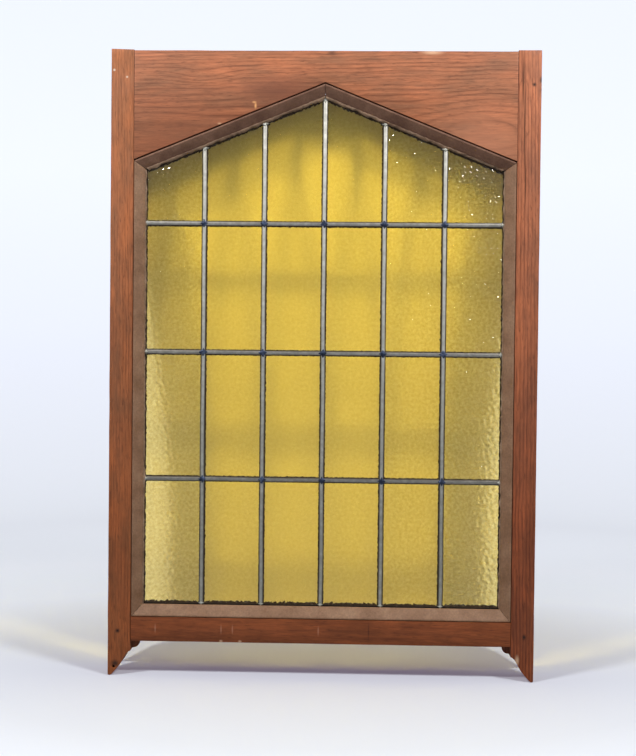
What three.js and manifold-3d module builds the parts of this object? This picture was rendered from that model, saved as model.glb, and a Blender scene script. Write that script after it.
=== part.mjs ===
// A leaded window sash: a timber frame with horns, glazing beads, lead cames and 24 panes.
// Millimetres. X runs across the window, +Z is up, the beaded front faces -Y.
// The origin lies on the back face of the top rail, on the centre line.

import * as THREE from 'three';
import { mergeVertices } from 'three/addons/utils/BufferGeometryUtils.js';
import Module from 'manifold-3d';

// frame
const windowWidth = 560;
const frameDepth = 38;
const railTop = 20;             // height of the top rail's upper edge
const railUnderside = -755.1;   // height of the bottom rail's lower edge
const faceWidth = 30;           // front face of a stile
const rebateWidth = 9.5;
const rebateDepth = 18;
const finThickness = 6;         // the timber behind the glass
const filletStep = 1.5;         // small flats at both ends of the moulding
const gableApex = -20.7;        // height of the top rail's lower edge on the centre line
const gableSlope = 0.4056;      // fall of that edge for each millimetre outwards
const sillEdge = -723.1;        // height of the bottom rail's upper edge
const joinGap = 0.3;            // clearance between neighbouring pieces

// joints of the frame
const tenonFront = 13;
const tenonBack = 26;
const tenonRoot = 236;          // half the distance between the roots of a rail's two tenons
const topTenon = { low: -100, high: -15 };
const bottomTenon = { low: -748, high: -725 };

// ends of the stiles
const leftTopRise = { outer: 1.9, inner: 0.3 };
const rightTopRise = { outer: 1.6, inner: 1.5 };
const hornLength = 46;
const hornHole = { in: 7.9, down: 34.3, radius: 1.8, sides: 10 };
const hornShoulder = 4;         // short upright below the rail
// The horn's curves, as distances in from the outer edge and down from the rail's underside:
// a round, a hollow, a long sweep and the worn tip. Each bends towards its guide.
const hornCurves = [
  { guide: [39.5, 12.4], end: [31, 13] },
  { guide: [25.4, 13.6], end: [21, 23] },
  { guide: [17, 32.4], end: [4.8, 44.6] },
  { guide: [2.2, 46.8], end: [0, 45] },
];

// glazing beads: width to the sight line on each side of the opening
const beadWidth = { side: 14, slope: 15, bottom: 15.5 };
const beadFront = 0.8;
const beadBack = 11.6;
const beadNose = 2.6;
const beadFlat = 0.14;          // share of the width that is flat before the splay
const beadClear = 0.02;         // share of the width kept clear of the rebate

// lead
const sightLine = { side: 15.5, slope: 18, bottom: 16.7 };
const borderWidth = 12.7;
const borderHalfDepth = 2.9;
const cameWidth = 6.4;
const cameEdge = 2.6;           // half the depth at the edge of a flange
const cameRise = 0.9;           // how far a flange is domed above its edge
const heartThickness = 1.5;
const channel = 3.6;
const domeSteps = 6;
const glassPlane = 14.8;        // depth of the middle of the glass
const uprightSpacing = 79;
const crossHeights = [-203.7, -373.3, -541];

// glass
const paneThickness = 3;
const heartGap = 0.35;

const curveSteps = 6;
const halfWidth = windowWidth / 2;
const openingHalf = halfWidth - faceWidth;
const gableLength = Math.hypot(1, gableSlope);
const columns = 6;

const wood = material(0x8f5a3f, 0.5);
const beadWood = material(0x8a6b54, 0.55);
const lead = material(0x8f8984, 0.45, 0.6);
const glass = material(0xd6b959, 0.12);

const wasm = await Module();
wasm.setup();

function material(color, roughness, metalness = 0) {
  return new THREE.MeshStandardMaterial({ color, roughness, metalness });
}

// Depth is counted from the front face of the frame, and Y from its back.
function depthToY(depth) {
  return depth - frameDepth;
}

function toSolid(geometry) {
  const bare = geometry.clone();
  bare.deleteAttribute('normal');
  bare.deleteAttribute('uv');
  const merged = mergeVertices(bare, 1e-4);
  return new wasm.Manifold(new wasm.Mesh({
    numProp: 3,
    vertProperties: new Float32Array(merged.attributes.position.array),
    triVerts: new Uint32Array(merged.index.array),
  }));
}

function toGeometry(solid) {
  const mesh = solid.getMesh();
  const geometry = new THREE.BufferGeometry();
  geometry.setAttribute('position', new THREE.BufferAttribute(mesh.vertProperties, 3));
  geometry.setIndex(new THREE.BufferAttribute(mesh.triVerts, 1));
  geometry.computeVertexNormals();
  return geometry;
}

function extrude(points, length) {
  return new THREE.ExtrudeGeometry(new THREE.Shape(points), {
    depth: length,
    bevelEnabled: false,
    steps: 1,
    curveSegments: curveSteps,
  });
}

// An outline drawn in X and Z, given thickness between two depths.
function slab(points, frontDepth, backDepth) {
  const geometry = extrude(points, backDepth - frontDepth);
  geometry.rotateX(Math.PI / 2);
  geometry.translate(0, depthToY(backDepth), 0);
  return geometry;
}

function block(xRange, depthRange, zRange) {
  const size = [xRange, depthRange, zRange].map(([low, high]) => high - low);
  const geometry = new THREE.BoxGeometry(...size);
  geometry.translate(
    (xRange[0] + xRange[1]) / 2,
    depthToY((depthRange[0] + depthRange[1]) / 2),
    (zRange[0] + zRange[1]) / 2,
  );
  return geometry;
}

// A closed skin over rings of points. Neighbouring rings are joined by quads, and the first
// and last are closed by the triangles of the flat outline that every ring follows.
function skin(outline, rings) {
  const count = outline.length;
  const last = (rings.length - 1) * count;
  const faces = [];
  for (let start = 0; start < last; start += count) {
    for (let i = 0; i < count; i += 1) {
      const a = start + i;
      const b = start + ((i + 1) % count);
      faces.push([a, b, b + count], [a, b + count, a + count]);
    }
  }
  const clockwise = THREE.ShapeUtils.isClockWise(outline);
  for (const cap of THREE.ShapeUtils.triangulateShape(outline, [])) {
    const [a, b, c] = clockwise ? cap.reverse() : cap;
    faces.push([a, c, b], [last + a, last + b, last + c]);
  }
  const points = rings.flat();
  const volume = faces.reduce((sum, [a, b, c]) => {
    const cross = points[b].clone().cross(points[c]);
    return sum + points[a].dot(cross);
  }, 0);
  const outward = volume > 0 ? faces : faces.map(([a, b, c]) => [a, c, b]);
  const geometry = new THREE.BufferGeometry().setFromPoints(points);
  geometry.setIndex(outward.flat());
  geometry.computeVertexNormals();
  return geometry;
}

// The gabled opening, moved inwards by its own distance on the sides, slopes and bottom.
// Corners run from the bottom left, by the right shoulder and the apex, to the left shoulder.
function gable({ side, slope, bottom }) {
  const half = openingHalf - side;
  const low = sillEdge + bottom;
  const apex = gableApex - slope * gableLength;
  const shoulder = apex - gableSlope * half;
  return [[-half, low], [half, low], [half, shoulder], [0, apex], [-half, shoulder]]
    .map(([x, z]) => new THREE.Vector2(x, z));
}

function evenGable(inward) {
  return gable({ side: inward, slope: inward, bottom: inward });
}

// The frame's moulding as pairs: how far it stands into the opening, and at what depth.
function moulding(grow = 0) {
  const finBack = rebateDepth + finThickness;
  const reach = rebateWidth - filletStep + grow;
  const rise = frameDepth - filletStep - finBack + grow;
  const pairs = [
    [grow, -grow],
    [grow, rebateDepth - grow],
    [rebateWidth + grow, rebateDepth - grow],
    [rebateWidth + grow, finBack + grow],
    [reach, finBack + grow],
  ];
  for (let i = 1; i <= curveSteps; i += 1) {
    const turn = (i / curveSteps) * (Math.PI / 2);
    const stand = reach * Math.cos(turn) + (i === curveSteps ? grow : 0);
    pairs.push([stand, finBack + rise * Math.sin(turn)]);
  }
  pairs.push([grow, frameDepth + grow]);
  return pairs;
}

// The section of a stile seen from above: side is -1 on the left and 1 on the right.
function stileSection(side, grow = 0) {
  const inner = moulding(grow).map(([stand, depth]) => [openingHalf - stand, depth]);
  const outer = [[halfWidth + grow, frameDepth + grow], [halfWidth + grow, -grow]];
  return [...inner, ...outer].map(([x, depth]) => new THREE.Vector2(side * x, depthToY(depth)));
}

// The waste below a horn, bounded by its short upright and its curves.
function hornWaste(side) {
  const beyond = 2;
  const full = faceWidth + rebateWidth;
  const at = (fromEdge, down) => [side * (halfWidth - fromEdge), railUnderside - down];
  const waste = new THREE.Shape();
  waste.moveTo(...at(full + beyond, hornLength + beyond));
  waste.lineTo(...at(full + beyond, hornShoulder));
  waste.lineTo(...at(full, hornShoulder));
  for (const { guide, end } of hornCurves) {
    waste.quadraticCurveTo(...at(...guide), ...at(...end));
  }
  const tip = hornCurves[hornCurves.length - 1].end[1];
  waste.lineTo(...at(-beyond, tip));
  waste.lineTo(...at(-beyond, hornLength + beyond));
  return slab(waste.getPoints(curveSteps), -beyond, frameDepth + beyond);
}

// The stick of a stile, cut to a slope at the top and to the horn's shape below.
function stile(side, topRise) {
  const beyond = 5;
  const low = railUnderside - hornLength - 1;
  const stick = extrude(stileSection(side), railTop + beyond - low);
  stick.translate(0, 0, low);
  const full = halfWidth - faceWidth - rebateWidth;
  const topWaste = slab([
    new THREE.Vector2(side * (halfWidth + beyond), railTop + topRise.outer),
    new THREE.Vector2(side * (full - beyond), railTop + topRise.inner),
    new THREE.Vector2(side * (full - beyond), railTop + 2 * beyond),
    new THREE.Vector2(side * (halfWidth + beyond), railTop + 2 * beyond),
  ], -beyond, frameDepth + beyond);
  let solid = toSolid(stick).subtract(toSolid(topWaste)).subtract(toSolid(hornWaste(side)));
  for (const tenon of [topTenon, bottomTenon]) {
    solid = solid.subtract(toSolid(tenonBlock(side, tenon, joinGap, beyond)));
  }
  return solid;
}

// A tenon reaches almost through its stile. Its mortise is the same block, grown and longer.
function tenonBlock(side, { low, high }, grow, past) {
  const xRange = [side * tenonRoot, side * (halfWidth + past)].sort((a, b) => a - b);
  return block(xRange, [tenonFront - grow, tenonBack + grow], [low - grow, high + grow]);
}

// Everything that the opening takes out of the frame, from its front to its back.
function openingWaste() {
  const rings = moulding().map(([stand, depth]) => ({ outline: evenGable(stand), depth }));
  rings[0].depth -= 1;
  rings[rings.length - 1].depth += 1;
  return skin(evenGable(0), rings.map(({ outline, depth }) => (
    outline.map(({ x, y }) => new THREE.Vector3(x, depthToY(depth), y))
  )));
}

// A rail fills the space between the stiles, is scribed over their mouldings and is tenoned.
function rail(low, high, tenon) {
  const beyond = 3;
  const half = openingHalf + beyond;
  let solid = toSolid(block([-half, half], [0, frameDepth], [low, high]));
  solid = solid.subtract(toSolid(openingWaste()));
  for (const side of [-1, 1]) {
    const stick = extrude(stileSection(side, joinGap), high - low + 2 * beyond);
    stick.translate(0, 0, low - beyond);
    solid = solid.subtract(toSolid(stick));
  }
  for (const side of [-1, 1]) {
    solid = solid.add(toSolid(tenonBlock(side, tenon, 0, -joinGap)));
  }
  return solid;
}

// A strip run along the opening through the given corners, mitred at each of them.
// Its section is drawn as distance into the opening and depth; inwards turns that distance
// into the distances on the sides, slopes and bottom.
function strip(section, corners, inwards, endGap) {
  const rings = corners.map((corner) => section.map(({ x, y }) => {
    const point = gable(inwards(x))[corner];
    return new THREE.Vector3(point.x, depthToY(y), point.y);
  }));
  const trim = (ring, towards) => {
    const step = towards[0].clone().sub(ring[0]).normalize().multiplyScalar(endGap);
    ring.forEach((point) => point.add(step));
  };
  trim(rings[0], rings[1]);
  trim(rings[rings.length - 1], rings[rings.length - 2]);
  return skin(section, rings);
}

function bead(corners) {
  const section = [
    [beadClear, beadFront],
    [beadFlat, beadFront],
    [1, beadBack - beadNose],
    [1, beadBack],
    [beadClear, beadBack],
  ].map(([x, y]) => new THREE.Vector2(x, y));
  const inwards = (share) => ({
    side: share * beadWidth.side,
    slope: share * beadWidth.slope,
    bottom: share * beadWidth.bottom,
  });
  return strip(section, corners, inwards, joinGap);
}

// The H section of a came about its middle: two flanges joined by the heart.
function cameSection(width, edge, rise) {
  const half = width / 2;
  const inner = channel / 2;
  const heart = heartThickness / 2;
  const flange = [[-heart, inner], [-half, inner]];
  for (let i = 0; i <= domeSteps; i += 1) {
    const across = -half + (width * i) / domeSteps;
    if (rise > 0 || i === 0 || i === domeSteps) {
      flange.push([across, edge + rise * (1 - (across / half) ** 2)]);
    }
  }
  flange.push([half, inner], [heart, inner]);
  const turned = flange.map(([x, y]) => [-x, -y]);
  return [...flange, ...turned].map(([x, y]) => new THREE.Vector2(x, y));
}

function borderCame(corners) {
  const middle = new THREE.Vector2(borderWidth / 2, glassPlane);
  const section = cameSection(borderWidth, borderHalfDepth, 0).map((point) => point.add(middle));
  const inwards = (across) => ({
    side: sightLine.side - borderWidth + across,
    slope: sightLine.slope - borderWidth + across,
    bottom: sightLine.bottom - borderWidth + across,
  });
  return strip(section, corners, inwards, joinGap);
}

// An upright came stands between the border cames and is cut along the gable at its top.
function uprightCame(x) {
  const inside = gable({
    side: sightLine.side + joinGap,
    slope: sightLine.slope + joinGap,
    bottom: sightLine.bottom + joinGap,
  });
  const low = sillEdge;
  const came = extrude(cameSection(cameWidth, cameEdge, cameRise), gableApex - low);
  came.translate(x, depthToY(glassPlane), low);
  return toGeometry(toSolid(came).intersect(toSolid(slab(inside, 0, frameDepth))));
}

// The left edge of a column: the middle of an upright came, or the border on either side.
function columnEdge(column, border) {
  if (column === 0) return -border;
  if (column === columns) return border;
  return (column - columns / 2) * uprightSpacing;
}

function columnSpan(column, border, clearance) {
  const left = columnEdge(column, border);
  const right = columnEdge(column + 1, border);
  return [
    column === 0 ? left : left + clearance,
    column === columns - 1 ? right : right - clearance,
  ];
}

// A pane reaches into the channels around it, almost to their hearts.
function pane(row, column) {
  const clearance = heartThickness / 2 + heartGap;
  const toHeart = clearance - borderWidth / 2;
  const bed = gable({
    side: sightLine.side + toHeart,
    slope: sightLine.slope + toHeart,
    bottom: sightLine.bottom + toHeart,
  });
  const [left, right] = columnSpan(column, bed[1].x, clearance);
  const low = row < crossHeights.length ? crossHeights[row] + clearance : bed[0].y;
  const slopeAt = (x) => bed[3].y - gableSlope * Math.abs(x);
  const topAt = (x) => (row > 0 ? crossHeights[row - 1] - clearance : slopeAt(x));
  const middle = new THREE.Vector2((left + right) / 2, low);
  const outline = [[left, low], [right, low], [right, topAt(right)], [left, topAt(left)]]
    .map(([x, z]) => new THREE.Vector2(x, z).sub(middle));
  const geometry = extrude(outline, paneThickness);
  geometry.translate(0, 0, -paneThickness / 2);
  return { geometry, middle };
}

const sash = new THREE.Group();

function place(parent, name, geometry, finish, position = [0, 0, 0], rotation = [0, 0, 0]) {
  const mesh = new THREE.Mesh(geometry, finish.clone());
  mesh.name = name;
  mesh.position.set(...position);
  mesh.rotation.set(...rotation);
  parent.add(mesh);
}

// timber frame
const hole = new THREE.CylinderGeometry(hornHole.radius, hornHole.radius, 2 * frameDepth, hornHole.sides);
hole.translate(hornHole.in - halfWidth, -frameDepth / 2, railUnderside - hornHole.down);
place(sash, 'left_stile', toGeometry(stile(-1, leftTopRise).subtract(toSolid(hole))), wood);
place(sash, 'right_stile', toGeometry(stile(1, rightTopRise)), wood);
const shoulderLow = gableApex - gableSlope * openingHalf - 2 * rebateWidth;
place(sash, 'top_rail', toGeometry(rail(shoulderLow, railTop, topTenon)), wood);
place(sash, 'bottom_rail', toGeometry(rail(railUnderside, sillEdge + rebateWidth, bottomTenon)), wood);

// glazing beads
const edges = { bottom: [0, 1], right: [1, 2], top_right: [2, 3], top_left: [3, 4], left: [4, 0] };
for (const [name, corners] of Object.entries(edges)) {
  place(sash, `bead_${name}`, bead(corners), beadWood);
}

// the leaded light
const borders = { bottom: [0, 1], right: [1, 2], top: [2, 3, 4], left: [4, 0] };
for (const [name, corners] of Object.entries(borders)) {
  place(sash, `border_came_${name}`, borderCame(corners), lead);
}
for (let upright = 1; upright < columns; upright += 1) {
  place(sash, `upright_came_${upright}`, uprightCame(columnEdge(upright, openingHalf)), lead);
}

const light = new THREE.Group();
light.position.y = depthToY(glassPlane);
sash.add(light);

const crossSection = cameSection(cameWidth, cameEdge, cameRise);
for (let row = 0; row < crossHeights.length; row += 1) {
  for (let column = 0; column < columns; column += 1) {
    const border = openingHalf - sightLine.side - joinGap;
    const [left, right] = columnSpan(column, border, cameWidth / 2 + joinGap);
    const came = extrude(crossSection, right - left);
    const start = [left, 0, crossHeights[row]];
    place(light, `cross_came_${row + 1}_${column + 1}`, came, lead, start, [0, Math.PI / 2, 0]);
  }
}

for (let row = 0; row <= crossHeights.length; row += 1) {
  for (let column = 0; column < columns; column += 1) {
    const { geometry, middle } = pane(row, column);
    const position = [middle.x, 0, middle.y];
    place(light, `pane_${row + 1}_${column + 1}`, geometry, glass, position, [Math.PI / 2, 0, 0]);
  }
}

export default sash;
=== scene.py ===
# A leaded window sash: a pine frame with horns, painted glazing beads, lead cames, amber glass.
# Metres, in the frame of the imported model: X runs across, +Z is up, the beaded front faces -Y.
import math

import bmesh
import bpy
import numpy as np
from mathutils import Euler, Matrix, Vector


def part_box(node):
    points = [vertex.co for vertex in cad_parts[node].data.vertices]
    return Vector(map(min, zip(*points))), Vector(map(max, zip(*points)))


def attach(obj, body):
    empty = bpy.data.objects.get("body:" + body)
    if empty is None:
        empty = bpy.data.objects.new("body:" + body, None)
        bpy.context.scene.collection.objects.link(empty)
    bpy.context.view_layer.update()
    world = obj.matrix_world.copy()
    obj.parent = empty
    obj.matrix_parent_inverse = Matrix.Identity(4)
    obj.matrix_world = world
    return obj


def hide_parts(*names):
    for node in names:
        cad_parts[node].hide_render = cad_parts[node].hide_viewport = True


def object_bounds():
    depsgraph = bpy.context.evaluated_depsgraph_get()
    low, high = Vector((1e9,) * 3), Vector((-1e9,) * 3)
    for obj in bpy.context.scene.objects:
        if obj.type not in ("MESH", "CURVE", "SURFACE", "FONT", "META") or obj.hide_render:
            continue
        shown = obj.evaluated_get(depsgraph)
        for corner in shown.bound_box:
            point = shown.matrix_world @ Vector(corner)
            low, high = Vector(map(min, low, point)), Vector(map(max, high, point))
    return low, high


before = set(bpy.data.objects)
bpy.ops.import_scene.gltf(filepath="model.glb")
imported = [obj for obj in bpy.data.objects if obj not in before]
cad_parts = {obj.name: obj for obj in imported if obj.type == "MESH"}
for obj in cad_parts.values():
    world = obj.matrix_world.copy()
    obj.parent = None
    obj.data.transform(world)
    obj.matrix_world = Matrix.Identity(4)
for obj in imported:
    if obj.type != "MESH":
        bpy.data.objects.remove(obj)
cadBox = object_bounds()
mm = 0.001
front = cadBox[0].y      # the frame's front face; depths are counted from it


def linear(hexColour):
    # sRGB hex to linear: c / 12.92 below 0.04045, and ((c + 0.055) / 1.055) ^ 2.4 above it
    parts = [int(hexColour[i:i + 2], 16) / 255 for i in (1, 3, 5)]
    parts = [c / 12.92 if c <= 0.04045 else ((c + 0.055) / 1.055) ** 2.4 for c in parts]
    return (*parts, 1.0)


def add(tree, kind, inputs=None, out=0, stops=None, **settings):
    # One shader node. An input given as a socket is linked, any other is set; returns its output.
    node = tree.nodes.new("ShaderNode" + kind)
    for key, value in settings.items():
        setattr(node, key, value)
    for key, value in (inputs or {}).items():
        if isinstance(value, bpy.types.NodeSocket):
            tree.links.new(value, node.inputs[key])
        else:
            node.inputs[key].default_value = value
    if stops:
        elements = node.color_ramp.elements
        while len(elements) < len(stops):
            elements.new(1.0)
        for element, (position, colour) in zip(elements, stops):
            element.position = position
            element.color = colour
    return node.outputs[out]


def newTree(name):
    # An empty material: its node tree, and the socket that takes the finished surface.
    material = bpy.data.materials.new(name)
    material.use_nodes = True
    material.node_tree.nodes.clear()
    end = material.node_tree.nodes.new("ShaderNodeOutputMaterial")
    return material, material.node_tree, end.inputs["Surface"]


def grey(value):
    return (value, value, value, 1.0)


def ripple(points, wavelength, seed, waves=28):
    # Sum of plane waves of seeded direction and phase, each 0.72 to 1.45 of the wavelength long;
    # mostly within -1 and 1.
    rng = np.random.default_rng(seed)
    direction = rng.normal(size=(waves, points.shape[-1]))
    direction /= np.linalg.norm(direction, axis=1, keepdims=True)
    length = wavelength * rng.uniform(0.72, 1.45, waves)
    phase = rng.uniform(0, 2 * math.pi, waves)
    turns = points @ (direction / length[:, None]).T * 2 * math.pi + phase
    return np.sin(turns).sum(-1) * math.sqrt(2 / waves) / 2


def quads(rows, columns, closed=False, looped=False):
    # The quads of a grid of rows by columns points; closed joins the last column to the first,
    # looped the last row to the first.
    index = np.arange(rows * columns).reshape(rows, columns)
    if closed:
        index = np.concatenate([index, index[:, :1]], 1)
    if looped:
        index = np.concatenate([index, index[:1]], 0)
    faces = np.stack([index[:-1, :-1], index[:-1, 1:], index[1:, 1:], index[1:, :-1]], -1)
    return faces.reshape(-1, 4).tolist()


def tube(rings):
    # Rings of points (rings, points, 3) joined by quads and closed by a flat face at each end.
    count, size, _ = rings.shape
    faces = quads(count, size, closed=True)
    faces.append(list(range(size)))
    faces.append(list(range((count - 1) * size, count * size)))
    return rings.reshape(-1, 3), faces


def joined(parts):
    # Several (points, faces) pairs as one.
    points, faces, base = [], [], 0
    for partPoints, partFaces in parts:
        points.append(np.asarray(partPoints).reshape(-1, 3))
        faces += [[index + base for index in face] for face in partFaces]
        base += len(points[-1])
    return np.concatenate(points), faces


def addPiece(name, shape, material, slot, nodes=(), sharp=34, **values):
    # A mesh object at the origin, normals outwards, smooth below the sharp angle. Further named
    # arrays become attributes of its points.
    points, faces = shape
    mesh = bpy.data.meshes.new(name)
    mesh.from_pydata(np.asarray(points).reshape(-1, 3).tolist(), [], faces)
    work = bmesh.new()
    work.from_mesh(mesh)
    bmesh.ops.recalc_face_normals(work, faces=work.faces)
    work.to_mesh(mesh)
    work.free()
    for key, value in values.items():
        mesh.attributes.new(key, "FLOAT", "POINT").data.foreach_set("value", np.ravel(value))
    return finishPiece(name, mesh, material, nodes, sharp)


def finishPiece(name, mesh, material, nodes=(), sharp=34):
    mesh.shade_smooth()
    mesh.set_sharp_from_angle(angle=math.radians(sharp))
    mesh.materials.clear()
    mesh.materials.append(material)
    piece = bpy.data.objects.new(name, mesh)
    bpy.context.scene.collection.objects.link(piece)
    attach(piece, "root")
    if nodes:
        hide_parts(*nodes)
    return piece


# Camera, stage and light
view = {
    "place": (0.0382, -1.6053, -0.3711),
    "turn": (88.741, -0.599, 1.619),     # degrees
    "lens": 57.14,
}
stage = {
    "floor": cadBox[0].z,
    "rings": (0.001, 0.5, 1.0),      # radii of the rings within the flat floor
    "flat": 1.5,             # radius of the flat floor
    "reach": 2.6,            # radius where the sweep ends
    "height": 2.4,
    # the wall's profile: height, and distance behind the sash's back
    "wall": [(0.04, -0.002), (-0.44, 0.067), (-0.52, 0.076), (-0.60, 0.080),
             (-0.738, 0.080), (-0.800, 0.034)],
    "wallHalf": 0.275,
    "wallStep": 0.004,
    # light that comes round the sash's outer edges reaches in by this share of the wall's distance
    "reachIn": {"left": 0.82, "right": 0.62},
    "shine": 0.15,           # its strength
    "crisp": 4 * mm,         # half the band over which it fades
    "creep": 0.09,           # strength of the softer light further in
    "creepBand": (-90 * mm, 10 * mm),    # where that fades, from the same edge
    "clear": 0.06,           # distance behind the sash from which both are whole
}
softboxes = [
    {"name": "softbox_right", "place": (0.87, -0.95, 0.79), "size": 0.26, "power": 23.3},
    {"name": "softbox_left", "place": (-0.94, -0.95, 0.84), "size": 0.26, "power": 23.3},
    {"name": "side_right", "place": (1.5, -0.02, -0.25), "size": 0.5, "power": 3},
    {"name": "side_left", "place": (-1.5, -0.02, -0.25), "size": 0.5, "power": 3},
]

camera = bpy.data.objects.new("camera", bpy.data.cameras.new("camera"))
camera.data.lens = view["lens"]
camera.location = view["place"]
camera.rotation_euler = Euler([math.radians(angle) for angle in view["turn"]])
bpy.context.scene.collection.objects.link(camera)
bpy.context.scene.camera = camera
bpy.context.scene.view_settings.view_transform = "Standard"

# Pale paper: matt, with a little light of its own so that shadows on it stay soft. That light is
# weaker after a bounce and in reflections.
paper, tree, end = newTree("pale_paper")
at = add(tree, "TexCoord", out="Object")
height = add(tree, "SeparateXYZ", {"Vector": at}, out="Z")
rise = add(tree, "MapRange", {"Value": height, "From Min": stage["floor"], "From Max": 0.2})
away = add(tree, "Mapping", {
    "Vector": at, "Location": (0, 0, -stage["floor"]), "Scale": (0.8, 1.2, 1)})
away = add(tree, "VectorMath", {0: away}, operation="LENGTH", out="Value")
# The glow is weakest and warmest round the sash's foot, a painted shade under and behind the sash, and
# grows with distance and height into painted light on the far backdrop.
glow = add(tree, "ValToRGB", {"Fac": away}, stops=[
    (0.12, linear("#59485B")), (0.38, linear("#7E7980")), (0.66, linear("#ACADB5")),
    (1.0, linear("#BABCC4"))])
high = add(tree, "ValToRGB", {"Fac": rise}, stops=[
    (0.0, linear("#000000")), (0.5, linear("#616573")), (1.0, linear("#7C8195"))])
glow = add(tree, "VectorMath", {0: glow, 1: high}, operation="ADD")
bounces = add(tree, "LightPath", out="Diffuse Depth")
mirrored = bounces.node.outputs["Is Glossy Ray"]
seen = add(tree, "MapRange", {"Value": bounces, "To Min": 1.0, "To Max": 0.1})
dimmed = add(tree, "MapRange", {"Value": mirrored, "To Min": 1.0, "To Max": 0.3})
seen = add(tree, "Math", {0: seen, 1: dimmed}, operation="MULTIPLY")
matt = add(tree, "BsdfDiffuse", {"Color": linear("#BCC2C8")})
lift = add(tree, "Emission", {"Color": glow, "Strength": seen})
both = add(tree, "AddShader", {0: matt, 1: lift})
tree.links.new(both, end)


def sweepProfile(count):
    # Flat from the middle to the flat radius, then a quarter ellipse up to the rim.
    turn = np.linspace(0, math.pi / 2, count)
    radius = stage["flat"] + (stage["reach"] - stage["flat"]) * np.sin(turn)
    height = stage["floor"] + stage["height"] * (1 - np.cos(turn))
    radius = np.concatenate([stage["rings"], radius])
    height = np.concatenate([[stage["floor"]] * len(stage["rings"]), height])
    return radius, height


def backdrop():
    # The sweep's profile turned once round the upright axis.
    radius, height = sweepProfile(24)
    angle = np.linspace(0, 2 * math.pi, 72, endpoint=False)
    x = radius[:, None] * np.cos(angle)
    y = radius[:, None] * np.sin(angle)
    z = np.repeat(height[:, None], len(angle), 1)
    rings = np.stack([x, y, z], -1)
    faces = quads(len(radius), len(angle), closed=True) + [list(range(len(angle)))]
    mesh = bpy.data.meshes.new("backdrop")
    mesh.from_pydata(rings.reshape(-1, 3).tolist(), [], faces)
    mesh.shade_smooth()
    mesh.materials.append(paper)
    bowl = bpy.data.objects.new("backdrop", mesh)
    bpy.context.scene.collection.objects.link(bowl)
    bowl.visible_diffuse = False


# The wall that the sash leans near, seen only through the glass: matt paint, with the light that
# comes round the sash's outer edges.
wallPaint, tree, end = newTree("wall_paint")
matt = add(tree, "BsdfDiffuse", {"Color": linear("#D9D8D6")})
lit = add(tree, "Attribute", attribute_name="lit", out="Fac")
lift = add(tree, "Emission", {"Color": linear("#F6F3FF"), "Strength": lit})
both = add(tree, "AddShader", {0: matt, 1: lift})
tree.links.new(both, end)


def smooth(value, low, high):
    # 0 below low, 1 above high, and 3 share^2 - 2 share^3 between them
    share = np.clip((value - low) / (high - low), 0, 1)
    return share * share * (3 - 2 * share)


def wallCard():
    # A grid that bends along the wall's profile. It is lit beyond the edge, half width of the
    # sash - reach in * distance, and more weakly over a wider band within it; both grow with the
    # square of the wall's distance up to clear.
    half = stage["wallHalf"]
    heights, distances = np.array(stage["wall"]).T
    rows = int((heights[0] - heights[-1]) / stage["wallStep"])
    z = np.linspace(heights[0], heights[-1], rows)[:, None]
    x = np.linspace(-half, half, int(2 * half / stage["wallStep"]))[None, :]
    y = np.interp(-z, -heights, distances)
    reach = np.where(x < 0, stage["reachIn"]["left"], stage["reachIn"]["right"]) * y
    beyond = np.abs(x) - (cadBox[1].x - reach)
    lit = stage["shine"] * smooth(beyond, -stage["crisp"], stage["crisp"])
    lit = lit + stage["creep"] * smooth(beyond, *stage["creepBand"])
    lit = lit * np.clip(y / stage["clear"], 0, 1) ** 2
    points = np.stack(np.broadcast_arrays(x, y, z), -1)
    mesh = bpy.data.meshes.new("wall_card")
    mesh.from_pydata(points.reshape(-1, 3).tolist(), [], quads(*points.shape[:2]))
    mesh.attributes.new("lit", "FLOAT", "POINT").data.foreach_set("value", np.ravel(lit))
    mesh.materials.append(wallPaint)
    card = bpy.data.objects.new("wall_card", mesh)
    bpy.context.scene.collection.objects.link(card)
    card.visible_camera = False
    card.visible_diffuse = False
    card.visible_glossy = False


def softbox(name, place, size, power):
    # A square light that looks at the sash, a little above its middle.
    light = bpy.data.lights.new(name, "AREA")
    light.shape = "SQUARE"
    light.size = size
    light.energy = power
    lamp = bpy.data.objects.new(name, light)
    lamp.location = place
    aim = Vector((0, 0, -0.3)) - Vector(place)
    lamp.rotation_euler = aim.to_track_quat("-Z", "Y").to_euler()
    lamp.visible_camera = False
    bpy.context.scene.collection.objects.link(lamp)


backdrop()
wallCard()
for box in softboxes:
    softbox(**box)
world = bpy.data.worlds.new("studio")
world.use_nodes = True
world.node_tree.nodes["Background"].inputs["Color"].default_value = linear("#EEF0F8")
world.node_tree.nodes["Background"].inputs["Strength"].default_value = 0.19
bpy.context.scene.world = world
print("stage and light: done")


# The opening between the members: a rectangle under a low gable.
opening = {
    "half": 250 * mm,        # half the width between the stiles' front arrises
    "apex": -20.7 * mm,
    "slope": 0.4056,         # fall of the gable for each metre outwards
    "sill": -723.1 * mm,
}
gableLength = math.hypot(1, opening["slope"])


def gable(side, slope, bottom):
    # The opening moved inwards by its own distance on the sides, slopes and bottom, as (5, ..., 2):
    # bottom left, bottom right, right shoulder, apex, left shoulder.
    side, slope, bottom = np.broadcast_arrays(side, slope, bottom)
    half = opening["half"] - side
    low = opening["sill"] + bottom
    apex = opening["apex"] - slope * gableLength
    shoulder = apex - opening["slope"] * half
    corners = [(-half, low), (half, low), (half, shoulder), (0 * half, apex), (-half, shoulder)]
    return np.array([np.stack(corner, -1) for corner in corners])


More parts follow.
